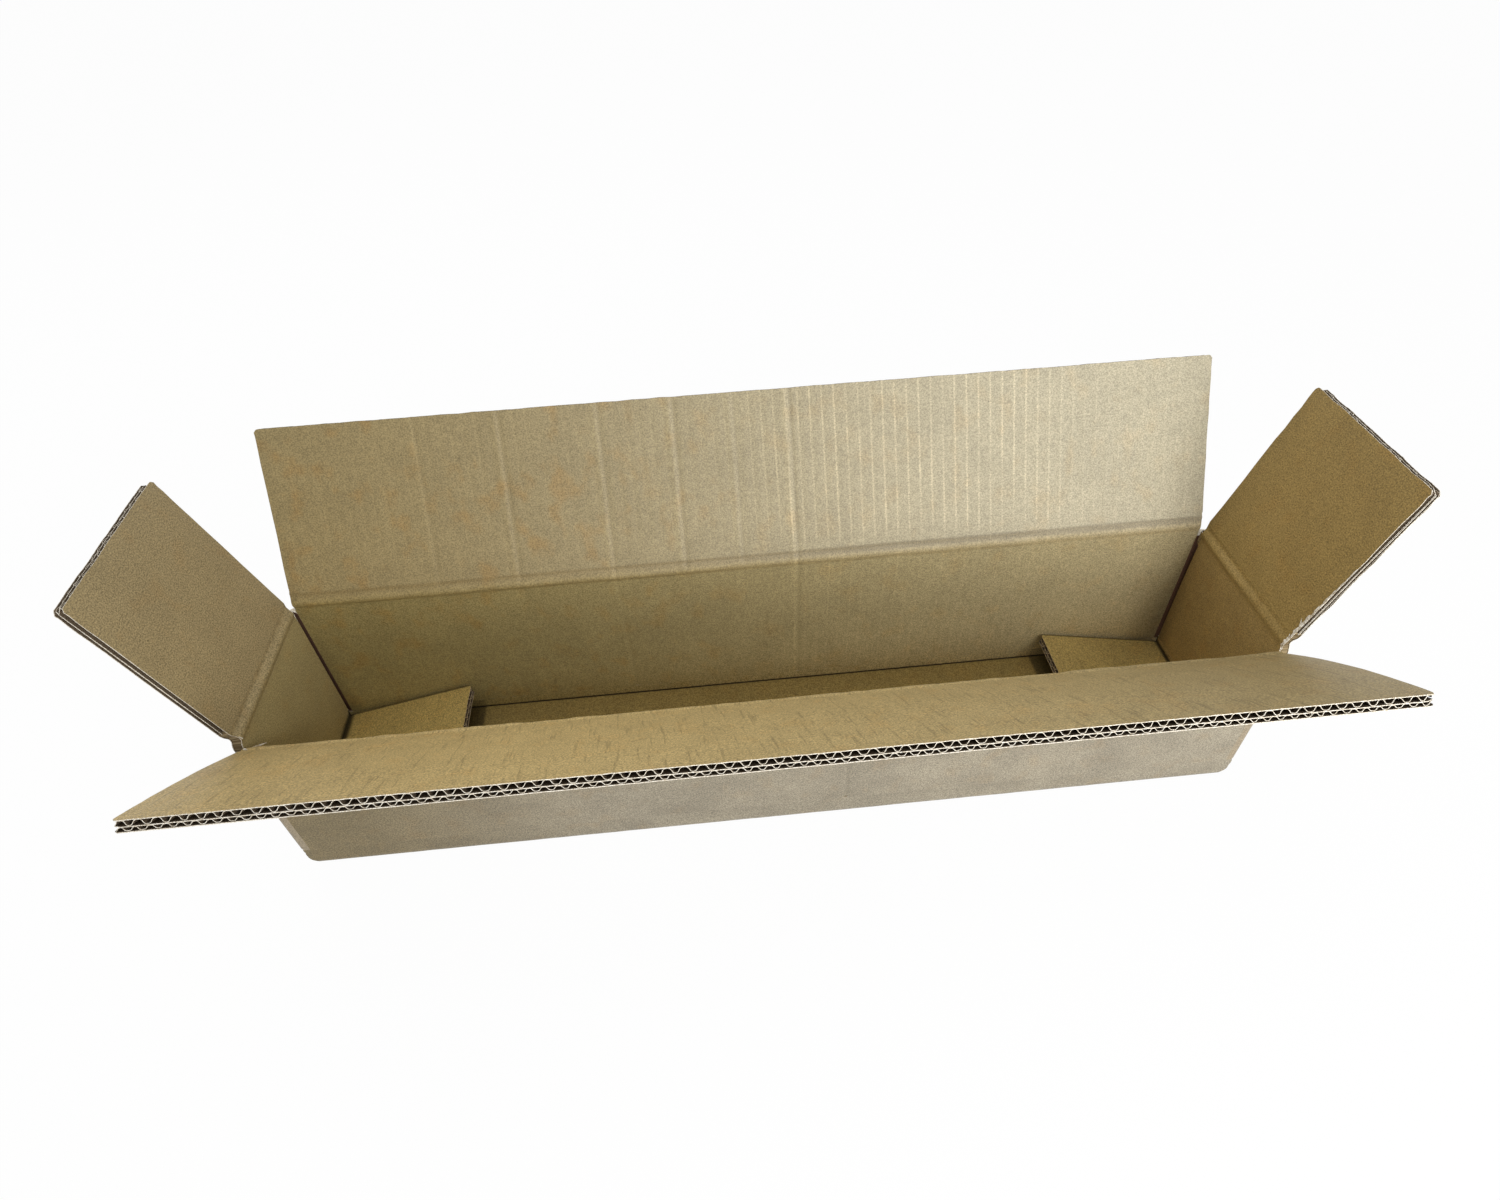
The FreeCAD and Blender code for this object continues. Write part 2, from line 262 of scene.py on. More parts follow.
class Shader:
    """A material whose nodes are added and linked one by one."""

    def __init__(self, name, roughness, specular):
        self.material = bpy.data.materials.new(name)
        self.material.use_nodes = True
        self.tree = self.material.node_tree
        self.surface = self.tree.nodes["Principled BSDF"]
        self.surface.inputs["Roughness"].default_value = roughness
        self.surface.inputs["Specular IOR Level"].default_value = specular
        self.sheet = self.add("ShaderNodeAttribute", attribute_name="sheet").outputs["Vector"]

    def add(self, kind, inputs=(), **settings):
        """A new node. inputs are values or other nodes' outputs, by the name or the number of the input."""
        node = self.tree.nodes.new(kind)
        for name, value in settings.items():
            setattr(node, name, value)
        for key, value in dict(inputs).items():
            if isinstance(value, bpy.types.NodeSocket):
                self.tree.links.new(value, node.inputs[key])
            else:
                node.inputs[key].default_value = value
        return node

    def math(self, operation, a, b=0.0):
        return self.add("ShaderNodeMath", {0: a, 1: b}, operation=operation).outputs[0]

    def stretch(self, x, y, z=1.0):
        """The sheet coordinates, scaled."""
        return self.add("ShaderNodeMapping", {"Vector": self.sheet, "Scale": (x, y, z)}).outputs[0]

    def noise(self, vector, scale, detail=2.0, roughness=0.5):
        inputs = {"Vector": vector, "Scale": scale, "Detail": detail, "Roughness": roughness}
        return self.add("ShaderNodeTexNoise", inputs).outputs["Fac"]

    def ramp(self, value, low, high, first=0.0, last=1.0):
        """first where the value is at low, last where it is at high, and smooth between them."""
        inputs = {"Value": value, "From Min": low, "From Max": high, "To Min": first, "To Max": last}
        return self.add("ShaderNodeMapRange", inputs, interpolation_type="SMOOTHSTEP").outputs["Result"]

    def mix(self, factor, a, b, blend="MIX"):
        inputs = {0: factor, 6: a, 7: b}
        return self.add("ShaderNodeMix", inputs, data_type="RGBA", blend_type=blend).outputs[2]

    def grey(self, value):
        return self.add("ShaderNodeCombineColor", {0: value, 1: value, 2: value}).outputs[0]

    def finish(self, colour, height, distance):
        """The material, with its colour and its bumps, which are as deep as the distance."""
        self.tree.links.new(colour, self.surface.inputs["Base Color"])
        bump = self.add("ShaderNodeBump", {"Strength": 1.0, "Distance": distance, "Height": height})
        self.tree.links.new(bump.outputs[0], self.surface.inputs["Normal"])
        return self.material


class Liner(Shader):
    """Kraft liner. Its brightness is a product of factors, and each method in its second part adds a look."""

    def __init__(self, name):
        super().__init__(name, 0.5, 0.35)
        self.u, self.v, self.w = self.add("ShaderNodeSeparateXYZ", {0: self.sheet}).outputs
        self.side = self.math("ABSOLUTE", self.u)
        self.away = self.math("ABSOLUTE", self.v)
        self.fibres = self.noise(self.sheet, 1130, 3, 0.7)
        self.soft = self.noise(self.sheet, 260, 2)
        self.factors = [
            self.ramp(self.soft, 0.3, 0.7, 0.96, 1.04),
            self.ramp(self.noise(self.sheet, 45, 2), 0.3, 0.7, 0.96, 1.04),
            self.ramp(self.noise(self.sheet, 430, 1), 0.735, 0.78, 1.0, 0.72),
        ]
        warm = self.noise(self.stretch(1, 0.8, 2), 70, 2)
        self.tint = self.ramp(warm, 0.52, 0.75, 0.0, 0.35)

    def paint(self, wall, flap, span, turn):
        """Colours of the wall and the flap, with all factors and warm patches on them."""
        end = self.ramp(self.u, *span)
        base = self.mix(self.ramp(self.v, *turn), self.mix(end, *wall), self.mix(end, *flap))
        base = self.mix(self.tint, base, self.mix(1.0, base, WARM, "MULTIPLY"))
        value = self.factors[0]
        for factor in self.factors[1:]:
            value = self.math("MULTIPLY", value, factor)
        colour = self.mix(1.0, base, self.grey(value), "MULTIPLY")
        return self.finish(colour, self.math("ADD", self.fibres, self.soft), 0.06 * MM)

    # ---- looks ----

    def grain(self, strengths):
        """Speckle of fibres, with its strengths in the wall and in the flap."""
        strength = self.ramp(self.v, -ZONE, 0.5 * ZONE, *strengths)
        speckle = self.math("MULTIPLY", strength, self.ramp(self.fibres, 0.28, 0.72, -1.0, 1.0))
        self.factors.append(self.math("ADD", 1.0, speckle))

    def ribs(self, place):
        """Painted highlights on the crests of the waves that show through, most of them near this place along
        u, where the sheen falls.
        """
        wave = self.math("SINE", self.math("MULTIPLY", self.u, 2 * math.pi / C_PITCH))
        patchy = self.ramp(self.noise(self.stretch(60, 12), 1, 2), 0.3, 0.58, 0.35, 1.0)
        far = self.math("ABSOLUTE", self.math("SUBTRACT", self.u, place))
        where = self.math("MULTIPLY", self.ramp(far, 0.06, 0.13, 1.0, 0.2), patchy)
        where = self.math("MULTIPLY", where, self.ramp(self.v, 0.5 * ZONE, 2 * ZONE, 0.25, 1.0))
        crest = self.math("MULTIPLY", self.ramp(wave, 0.78, 1.0, 0.0, 0.33), where)
        self.factors.append(self.math("ADD", 1.0, crest))

    def streaks(self, darkness):
        """Dark cracks along the waves."""
        slanted = self.math("ADD", self.u, self.math("MULTIPLY", self.v, 0.1))
        crack = self.add("ShaderNodeCombineXYZ", {0: slanted, 1: self.v, 2: self.w}).outputs[0]
        crack = self.add("ShaderNodeMapping", {"Vector": crack, "Scale": (520, 36, 1)}).outputs[0]
        self.factors.append(self.ramp(self.noise(crack, 1, 3), 0.56, 0.7, 1.0, 1.0 - darkness))

    def rubs(self, folds):
        """Painted light and shade on folds along v: a light line on each, with a painted shade beside it.
        Each is given by its u and its strength.
        """
        # worn only makes this painted light and shade patchy, and weaker in the wall.
        worn = self.ramp(self.noise(self.stretch(16, 30), 1, 2), 0.35, 0.6, 0.35, 1.0)
        worn = self.math("MULTIPLY", worn, self.ramp(self.v, -ZONE, 0, 0.5, 1.0))
        stray = self.math("MULTIPLY", self.soft, 2 * MM)
        for place, strength in folds:
            line = self.math("ADD", self.math("SUBTRACT", self.u, place), stray)
            light = self.math("ABSOLUTE", line)
            shade = self.math("ABSOLUTE", self.math("SUBTRACT", line, 4 * MM))
            change = self.math("SUBTRACT", self.ramp(light, 1.4 * MM, 3.4 * MM, strength, 0.0),
                               self.ramp(shade, 0.5 * MM, 1.7 * MM, strength, 0.0))
            self.factors.append(self.math("ADD", 1.0, self.math("MULTIPLY", change, worn)))

    def crevice(self, half):
        """Painted shade: a dark line of this half width where the panel meets its wall, in the fold's
        crevice.
        """
        self.factors.append(self.ramp(self.away, 0.6 * half, 1.15 * half, 0.13, 1.0))

    def band(self, brightness):
        """Painted shade: a darker line above the crease's inner roll, with its brightness at the panel's
        ends, and a warm tint on the roll that gives that shade a brown colour.
        """
        bright = self.ramp(self.u, -0.12, 0.12, *brightness)
        line = self.math("ABSOLUTE", self.math("SUBTRACT", self.v, 2.8 * MM))
        self.factors.append(self.math("POWER", bright, self.ramp(line, 1.1 * MM, 3 * MM, 1.0, 0.0)))
        self.tint = self.math("MAXIMUM", self.tint, self.ramp(self.away, 3 * MM, 6 * MM, 0.25, 0.0))

    def foot(self, more):
        """The wall is brighter by this share at its foot."""
        self.factors.append(self.ramp(self.v, -0.12, -0.04, 1 + more, 1.0))

    def lift(self, more):
        """The whole wall is brighter by this share than its colours."""
        self.factors.append(self.ramp(self.v, -MM, MM, 1 + more, 1.0))

    def clouds(self, strength):
        """Wide patches of lighter and darker tone in the board."""
        wide = self.noise(self.stretch(1, 1.6), 16, 3)
        self.factors.append(self.ramp(wide, 0.35, 0.65, 1 - strength, 1 + strength))

    def middle(self, more):
        """Painted light: the panel is brighter by this share in the middle of its length."""
        self.factors.append(self.ramp(self.side, 0.1, 0.27, 1 + more, 1.0))

    def stains(self, times):
        """The warm patches are this many times as strong where u is low."""
        self.tint = self.math("MULTIPLY", self.tint, self.ramp(self.u, -0.15, 0.05, times, 1.0))

    def nooks(self, corners):
        """Shade beside corners, most of it at the foot: from and to along u, brightness at the first."""
        low_down = self.ramp(self.v, -0.02, -0.1, 0.2, 1.0)
        for first, last, dark in corners:
            self.factors.append(self.math("POWER", self.ramp(self.u, first, last, dark, 1.0), low_down))

    def hidden(self, edge):
        """A band in the shade of a short flap's free edge, which begins this far from the middle."""
        shade = self.ramp(self.side, edge, edge + 3 * MM, 1.0, 0.35)
        shade = self.math("POWER", shade, self.ramp(self.v, -3 * MM, 3 * MM, 0.25, 1.0))
        fading = self.ramp(self.side, edge + 14 * MM, edge + 40 * MM, 1.0, 0.2)
        self.factors.append(self.math("POWER", shade, fading))

    def rim(self, half):
        """Painted shade: the panel's side edges are dark, where its half length along u ends, as the gap
        beside them lies in shade.
        """
        self.factors.append(self.ramp(self.side, half - 1.6 * MM, half - 0.6 * MM, 1.0, 0.3))


def kraft(name, wall, flap, span=(-0.3, 0.3), turn=(-ZONE, 0.5 * ZONE), grain=(0.5, 0.5), **looks):
    """A liner's material. looks are named after the methods of Liner.

    wall and flap are pairs of colours, for the panel's two ends along u, which change over the span.
    turn is from where to where along v the wall's colours turn into the flap's.
    """
    liner = Liner(name)
    liner.grain(grain)
    for look, value in looks.items():
        getattr(liner, look)(value)
    return liner.paint(wall, flap, span, turn)


def cut_paper(name, base, dark, scale=1500):
    """Raw edge or wavy sheet of the board, with loose fibres."""
    shader = Shader(name, 0.9, 0.15)
    fine = shader.noise(shader.stretch(1, 1), scale, 2)
    colour = shader.mix(shader.ramp(fine, 0.35, 0.65), dark, base)
    return shader.finish(colour, fine, 0.08 * MM)


def both(*colour):
    """The same colour for a panel's two ends."""
    return linear(*colour), linear(*colour)


def ends(first, last):
    """Colours of a panel's two ends, the one where u is lowest first."""
    return linear(*first), linear(*last)


WARM = (1.04, 0.9, 0.74, 1)
# Shallow folds in the rear panel: u, depth in the flap and in the wall, and the strength of the light and
# shade painted on them.
REAR_FOLDS = [
    (-208 * MM, 0.16 * MM, 0, 0.05),
    (-156 * MM, 0.24 * MM, 0, 0.08),
    (-94 * MM, 0.2 * MM, 0.22 * MM, 0.08),
    (-47 * MM, 0.24 * MM, 0, 0.08),
    (-9 * MM, 0.16 * MM, 0, 0.05),
    (27 * MM, 0.3 * MM, 0.3 * MM, 0.15),
]
REAR_FOLD_SHADING = [(place - MM, light) for place, _, _, light in REAR_FOLDS]
REAR_NOOKS = [(-HALF_L, 14 * MM - HALF_L, 0.7), (HALF_L, HALF_L - 35 * MM, 0.55)]
RIGHT_NOOKS = [(-HALF_W, 18 * MM - HALF_W, 0.6)]


def make_materials():
    """Bare kraft board. Each panel's colours are set so that it comes out at its tone under these lamps, so
    part of the light and shade between the panels is painted in. Where a panel's two ends differ, its paler
    end is painted sheen and light.
    """
    outside = both(156, 142, 118)
    # near, the pale end of the front's outside, and the paler end colours of the rear and front panels are
    # painted sheen and light.
    near, far = (151, 142, 123), (125, 111, 79)
    rear_wall, rear_flap = ((145, 131, 86), (179, 166, 129)), ((143, 127, 88), (177, 168, 142))
    front_wall, front_flap = both(168, 150, 104), ends((160, 142, 101), (186, 163, 111))
    left_wall, left_flap, left_foot_colour = both(165, 150, 106), both(145, 129, 94), both(194, 169, 103)
    right_wall, right_flap, right_foot_colour = both(171, 145, 93), both(156, 131, 77), both(178, 155, 95)
    corner = (-MM, MM)
    return {
        "rear": kraft("rear_liner", ends(*rear_wall), ends(*rear_flap), turn=(-0.6 * ZONE, 0.6 * ZONE),
                      grain=(0.42, 0.34), ribs=0.105, rubs=REAR_FOLD_SHADING, stains=2.4, band=(0.9, 0.7), foot=0.4,
                      nooks=REAR_NOOKS),
        "front": kraft("front_liner", front_wall, front_flap, grain=(0.45, 0.45), streaks=0.27, middle=0.2),
        "left": kraft("left_liner", left_wall, left_flap, foot=0.12),
        "right": kraft("right_liner", right_wall, right_flap, grain=(0.45, 0.45), nooks=RIGHT_NOOKS),
        "left_foot": kraft("left_foot_liner", left_wall, left_foot_colour, turn=corner, crevice=8 * MM,
                           lift=0.12, rim=FOOT_HALF),
        "right_foot": kraft("right_foot_liner", right_wall, right_foot_colour, turn=corner, crevice=6.5 * MM,
                            rim=FOOT_HALF),
        "base": kraft("base_liner", ends(*rear_wall[::-1]), both(158, 136, 80), turn=corner, crevice=4 * MM,
                      lift=0.4, hidden=HALF_L - BASE_LENGTH),
        "outside": kraft("outside_liner", outside, outside, grain=(0.38, 0.38)),
        "front_outside": kraft("front_outside_liner", ends(near, far), ends(near, far), span=(0.08, 0.3),
                               grain=(0.5, 0.5), clouds=0.09),
        "base_outside": kraft("base_outside_liner", ends(far, near), ends(far, near), span=(-0.3, -0.08),
                              grain=(0.5, 0.5), clouds=0.09),
        # The wavy sheet is darker than the liners: partly its own colour, partly painted shade of the flutes'
        # hollows.
        "medium": cut_paper("wavy_sheet", linear(112, 98, 80), linear(84, 72, 58)),
        "crushed": cut_paper("crushed_board", linear(156, 138, 106), linear(104, 88, 62), scale=900),
        # Nearly white, as the cut edges look where they are lit: partly painted light.
        "cut": cut_paper("cut_edge", linear(246, 240, 226), linear(206, 194, 172)),
        "torn": cut_paper("torn_fibres", linear(250, 246, 236), linear(196, 184, 162), scale=900),
        # Darker, purple-brown kraft for the pinched valley in a corner: partly painted shade of that valley.
        "notch": cut_paper("pinched_fold", linear(128, 98, 82), linear(98, 74, 62)),
        # A warmer copy of the cut edge's colours, painted for edges that lie in shade.
        "dull_cut": cut_paper("browned_edge", linear(244, 226, 192), linear(206, 184, 150)),
    }


# ---- the shape of a flap ----

def unbowed(u, v):
    """How far a flat panel bows."""
    return 0 * u


@dataclass
class Flap:
    """A folding panel of double-wall board: its outline, how it bows, and its crease."""
    fold: Fold
    half: float                 # half of its width, along the crease
    length: float               # from its crease to its free edge
    seed: int
    wall: float = ZONE          # how much of the wall belongs to it
    wall_half: float = None     # half of that wall's width, where it isn't the flap's
    corner: float = 2.5 * MM    # radius of its free corners
    bow: object = unbowed       # gives how far it bows outward at u and v
    wavy_shares: tuple = (0.4, 0.93, 1)     # rows of its wavy sheets, more of them where it bows
    bead: float = 1.3 * MM      # height of the crease's inner roll, negative for a valley
    bead_half: float = 2.9 * MM
    low: float = 0.0            # how far down the wall the middle of the inner roll lies
    fade: float = 0.0           # how much lower the inner roll is where u is highest
    uneven: float = 1.0
    groove: float = 1.7 * MM    # depth of the crease's outer groove
    ragged: float = 0.25 * MM
    marks: tuple = ()           # shallow folds along v: u, depth in the flap and in the wall
    dents: tuple = ()           # the same on the outside, in the wall alone: u, depth
    worn: float = 0.0           # how far the crease's two ends are worn back
    cut: str = "cut"            # material of its raw edges
    torn: tuple = ()            # side, first v and last v of a torn side edge
    shreds: tuple = ()          # loose slivers: side, inset, v, heading in degrees, length

    def __post_init__(self):
        if self.wall_half is None:
            self.wall_half = self.half

    def reach(self, u):
        """Length of the flap at u, with its rounded corners and its slightly ragged cut."""
        past = np.clip(np.abs(u) - (self.half - self.corner), 0, self.corner)
        rounding = self.corner - np.sqrt(np.maximum(self.corner ** 2 - past ** 2, 0))
        cut = 0.7 * wander(u, 9 * MM, self.seed) + 0.3 * wander(u, 1.7 * MM, self.seed + 1)
        return self.length - 0.8 * rounding + self.ragged * cut

    def grid(self, across, crease, shares, inset=0.0, short=0.0):
        """u and v of a grid: rows at the v values of crease, then at shares of the way to the free edge."""
        side = np.linspace(-1, 1, across)[None, :]
        free = self.reach(side * self.half) - short - ZONE
        fixed = np.asarray(crease, float)[:, None] + 0 * side
        v = np.concatenate([fixed, ZONE + free * np.asarray(shares, float)[:, None]])
        half = self.wall_half + (self.half - self.wall_half) * in_flap(v)
        rag = self.ragged * wander(v + 300 * MM * (side > 0), 2.3 * MM, self.seed + 2)
        half = half - self.worn * hump(v, 8 * MM)
        return side * (half - inset) + rag * np.abs(side) ** 60, v

    def line(self, u, v, place):
        """How far u is from a fold that runs along v and strays a little."""
        return u - place + 0.5 * MM * wander(v, 12 * MM, self.seed + 10)

    def inner(self, u, v):
        """w of the board's inner face."""
        roll = 0.25 * wander(u, 14 * MM, self.seed + 5) + 0.12 * wander(u, 3 * MM, self.seed + 6)
        roll = (1 + self.uneven * roll) * (1 - self.fade * smooth(0.5 + 1.25 * u / self.half))
        drift = v + self.low + self.uneven * 0.4 * MM * wander(u, 30 * MM, self.seed + 7)
        beside = hump(drift - 1.25 * self.bead_half, 0.6 * self.bead_half)
        crease = self.bead * roll * (hump(drift, self.bead_half) - 0.3 * beside * (self.bead > 0))
        for place, flap_depth, wall_depth in self.marks:
            line = self.line(u, v, place)
            fold = hump(line - MM, 2.5 * MM) - hump(line + 2 * MM, 3 * MM)
            crease = crease - (wall_depth + (flap_depth - wall_depth) * in_flap(v)) * fold
        strength = PRESSED * (1.2 + patches(u, v, 40 * MM, self.seed + 8)) * uncrushed(v)
        return -HALF - crease + strength * np.sin(2 * math.pi * u / C_PITCH) + self.bow(u, v)

    def outer(self, u, v):
        """w of the board's outer face."""
        depth = self.groove * (1 + 0.15 * wander(u, 11 * MM, self.seed + 9))
        sunk = depth * hump(v, 5 * MM)
        for place, dent in self.dents:
            sunk = sunk + dent * hump(self.line(u, v, place), 2.5 * MM) * smooth(-v / (4 * MM))
        waves = PRESSED * uncrushed(v) * np.sin(2 * math.pi * u / B_PITCH)
        return HALF - sunk + waves + self.bow(u, v)


ROWS = 12                   # of a liner, between the crease and the free edge
ALL_SHARES = [1 - (1 - k / ROWS) ** 1.5 for k in range(1, ROWS + 1)]    # closer together near the free edge
DEEP = [ZONE - MM]          # where inner layers start, hidden in the crease
COARSE = 4 * MM             # step along the crease of a layer that is seen at its edge alone


def crease_rows(flap):
    return np.arange(-flap.wall, ZONE + 0.01 * MM, CREASE_STEP)


def add_layer(piece, flap, low, high, uv, looks):
    """One closed layer of board between two faces, given as w over the grid."""
    u, v = uv
    place = flap.fold.place
    piece.slab(place(u, v, low), place(u, v, high), np.stack([u, v, low + flap.seed * MM], -1), looks)


def add_liners(piece, flap, inside, outside, fine):
    """The inner and the outer liner, which run on over the crease into the wall."""
    uv = flap.grid(int(2 * flap.half / fine), crease_rows(flap), ALL_SHARES)
    w = flap.inner(*uv)
    add_layer(piece, flap, w, w + LINER, uv, (inside, "medium", flap.cut))
    uv = flap.grid(int(2 * flap.half / (1.6 * fine)), crease_rows(flap), ALL_SHARES)
    w = flap.outer(*uv)
    add_layer(piece, flap, w - LINER, w, uv, ("medium", outside, flap.cut))


def add_core(piece, flap):
    """Crushed board between the liners, along the crease."""
    uv = flap.grid(int(2 * flap.half / COARSE), crease_rows(flap), [], inset=0.5 * MM)
    low, high = flap.inner(*uv) + 0.9 * LINER, flap.outer(*uv) - 0.9 * LINER
    add_layer(piece, flap, low, high, uv, ("crushed",) * 3)


def add_middle(piece, flap):
    """The liner between the two wavy sheets."""
    uv = flap.grid(int(2 * flap.half / COARSE), DEEP, [0.25, 0.5, 0.75, 1], short=0.2 * MM)
    w = MIDDLE + flap.bow(*uv)
    add_layer(piece, flap, w, w + LINER, uv, ("medium", "medium", flap.cut))


def add_medium(piece, flap, low, height, pitch, seed):
    """One wavy sheet between two liners, open at the flap's free edge."""
    across = int(2 * flap.half / pitch * WAVE_POINTS)
    u, v = flap.grid(across, DEEP, flap.wavy_shares, inset=0.3 * MM, short=0.35 * MM)
    v = v - 0.3 * MM * (1 + wander(u, 2.1 * MM, seed + 1)) * (v > flap.length - 5 * MM)
    turn = 2 * math.pi * u / pitch + 0.5 * wander(u, 1.7 * pitch, seed) + seed
    wave = np.sin(turn + 0.25 * np.cos(turn) * wander(u, 25 * MM, seed + 2))
    wave = np.tanh(WAVE_FLAT * wave) / math.tanh(WAVE_FLAT)
    w = low + height / 2 + (height - MEDIUM) / 2 * wave + flap.bow(u, v)
    slope = np.gradient(w, axis=1) / np.gradient(u, axis=1)
    half = MEDIUM / 2 / np.sqrt(1 + slope ** 2)
    place = flap.fold.place
    front = place(u + slope * half, v, w - half)
    back = place(u - slope * half, v, w + half)
    piece.slab(front, back, np.stack([u, v, w + flap.seed * MM], -1), ("medium", "medium", flap.cut))


TORN_STEP = 0.35 * MM
TORN_WIDTH = 1.9 * MM
FIBRE = 0.15 * MM           # thickness of loose paper


def add_torn(piece, flap):
    """Pale fibres where a side edge's inner liner has torn back, most of them near the crease."""
    side, first, last = flap.torn
    v = np.linspace(first, last, int((last - first) / TORN_STEP))[:, None]
    across = np.linspace(0, 1, 3)[None, :]
    ragged = wander(v, 1.6 * MM, flap.seed + 11) + 0.6 * wander(v, 5 * MM, flap.seed + 12)
    fading = smooth((v - first) / (3 * MM)) * (1 - 0.75 * smooth((v - first) / (last - first)))
    width = (TORN_WIDTH + 0.8 * MM * ragged) * fading + 0.15 * MM
    u = side * (flap.half + 0.3 * MM - across * width)
    v = v + 0 * u
    w = flap.inner(u, v)
    add_layer(piece, flap, w - FIBRE, w + 0.1 * MM, (u, v), ("torn",) * 3)


def add_shred(piece, flap, side, inset, v, heading, length):
    """A sliver of liner, torn loose and curled up from the inner face."""
    share = np.linspace(0, 1, 8)[:, None]
    half = 0.5 * MM * (1.05 - share ** 2) * np.linspace(-1, 1, 3)[None, :]
    turn = math.radians(heading)
    u = side * (flap.half - inset + math.cos(turn) * length * share) - math.sin(turn) * half
    v = v + math.sin(turn) * length * share + math.cos(turn) * half
    w = flap.inner(u, v) - 0.05 * MM - 0.15 * length * share ** 2
    add_layer(piece, flap, w - FIBRE, w, (u, v), ("torn",) * 3)


def build_flap(name, flap, inside, outside, fine=FINE):
    """All layers of a flap and its crease, as one piece."""
    piece = Piece(name)
    if flap.torn:
        add_torn(piece, flap)
    for shred in flap.shreds:
        add_shred(piece, flap, *shred)
    add_liners(piece, flap, inside, outside, fine)
    add_core(piece, flap)
    add_middle(piece, flap)
    add_medium(piece, flap, -HALF + LINER, C_HEIGHT, C_PITCH, flap.seed + 20)
    add_medium(piece, flap, MIDDLE + LINER, B_HEIGHT, B_PITCH, flap.seed + 30)
    return piece.make(MATERIALS)


# ---- the panels ----

def lean(joint):
    """How far a top flap leans outward from upright at rest."""
    return math.radians(OPEN_LIMIT - JOINTS[joint]["range_deg"][1])


def lift(joint):
    """How far a short bottom flap stands up from flat at rest."""
    return math.radians(LIFT_LIMIT - JOINTS[joint]["range_deg"][1])


def top_length(node, joint):
    """Crease to free edge of a top flap, from its highest point."""
    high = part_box(node)[1][2] - JOINTS[joint]["pos_m"][2]
    return (high - HALF * math.sin(lean(joint))) / math.cos(lean(joint))


def foot_length(node, joint):
    """Crease to free edge of a short bottom flap, from how far it reaches into the box."""
    low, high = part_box(node)
    reach = abs(JOINTS[joint]["pos_m"][0]) - min(abs(low[0]), abs(high[0]))
    under = 2 * HALF - BOTTOM_DEPTH
    return (reach - under * math.sin(lift(joint))) / math.cos(lift(joint))


UP, DOWN = (0, 0, 1), (0, 0, -1)
REAR, FRONT, LEFT, RIGHT = (0, 1, 0), (0, -1, 0), (-1, 0, 0), (1, 0, 0)


def top_fold(joint, out):
    return Fold(JOINTS[joint]["pos_m"], UP, out, lean(joint))


def foot_fold(joint, out):
    return Fold(JOINTS[joint]["pos_m"], DOWN, out, -math.pi / 2 - lift(joint), offset=BOTTOM_DEPTH)


FRONT_LENGTH = top_length("front_flap", "front_crease")
BASE_LENGTH = foot_length("right_bottom_flap", "right_bottom_crease")
FLOOR_Z = FOOT_Z - LAYER_GAP - 2 * HALF + BOTTOM_DEPTH      # top of the base under the short bottom flaps
VALLEY = {"bead": -2.2 * MM, "bead_half": 3.2 * MM, "groove": 0.6 * MM}     # a crease that folds inward
ARCH = 2.1 * MM             # how far the front flap bows, half way between its two ends
ARCH_MORE = 0.7 * MM        # how much farther at its right end


def front_bow(u, v):
    """The front flap is arched, more at its right end. Its u runs to the left."""
    share = np.clip(v / FRONT_LENGTH, 0, 1)
    rise = ARCH - ARCH_MORE * u / LONG_HALF
    return -rise * 4 * share * (1 - share)


def base_flap(out, height, seed, **shape):
    """A long bottom flap, folded flat under the box. height is the middle of its board."""
    axis = (0, out[1] * (HALF_W + HALF), height)
    fold = Fold(axis, DOWN, out, -math.pi / 2)
    return Flap(fold, BASE_HALF, BASE_LENGTH, seed, wall=SLOT_TOP - height, **VALLEY, **shape)


FRONT_DENTS = [(-45 * MM, 0.9 * MM)]    # a score to the right of the middle, which runs on under the box
FRONT_SHREDS = [(1, 0, -MM, 176, 12 * MM), (1, MM, 1.5 * MM, 150, 4 * MM)]
LEFT_SHREDS = [(-1, 2.5 * MM, -MM, 70, 3 * MM)]
RIGHT_SHREDS = [(1, MM, 3 * MM, 100, 4 * MM), (1, MM, 14 * MM, 115, 5 * MM), (1, 0, 24 * MM, 80, 3.5 * MM)]
RIGHT_TEAR = (1, -4 * MM, 60 * MM)
END_SHAPE = {"corner": 2.2 * MM, "worn": 1.5 * MM, "bead_half": 3.8 * MM, "groove": 0.9 * MM, "uneven": 0.4}

rear = Flap(top_fold("rear_crease", REAR), LONG_HALF, top_length("rear_flap", "rear_crease"), 101,
            marks=[fold[:3] for fold in REAR_FOLDS], fade=0.5, low=1.8 * MM, bead_half=3.5 * MM)
front = Flap(top_fold("front_crease", FRONT), LONG_HALF, FRONT_LENGTH, 202, bow=front_bow,
             wavy_shares=(0.23, 0.46, 0.7, 0.93, 1), dents=FRONT_DENTS, shreds=FRONT_SHREDS)
left = Flap(top_fold("left_end_crease", LEFT), END_HALF, top_length("left_end_flap", "left_end_crease"),
            303, shreds=LEFT_SHREDS, **END_SHAPE)
right = Flap(top_fold("right_end_crease", RIGHT), END_HALF, top_length("right_end_flap", "right_end_crease"),
             404, ragged=0.4 * MM, fade=0.6, torn=RIGHT_TEAR, shreds=RIGHT_SHREDS, **END_SHAPE)
left_foot = Flap(foot_fold("left_bottom_crease", LEFT), FOOT_HALF,
                 foot_length("left_bottom_flap", "left_bottom_crease"), 505, wall_half=END_HALF,
                 cut="dull_cut", **VALLEY)
right_foot = Flap(foot_fold("right_bottom_crease", RIGHT), FOOT_HALF,
                  foot_length("right_bottom_flap", "right_bottom_crease"), 606, wall_half=END_HALF,
                  cut="dull_cut", **VALLEY)
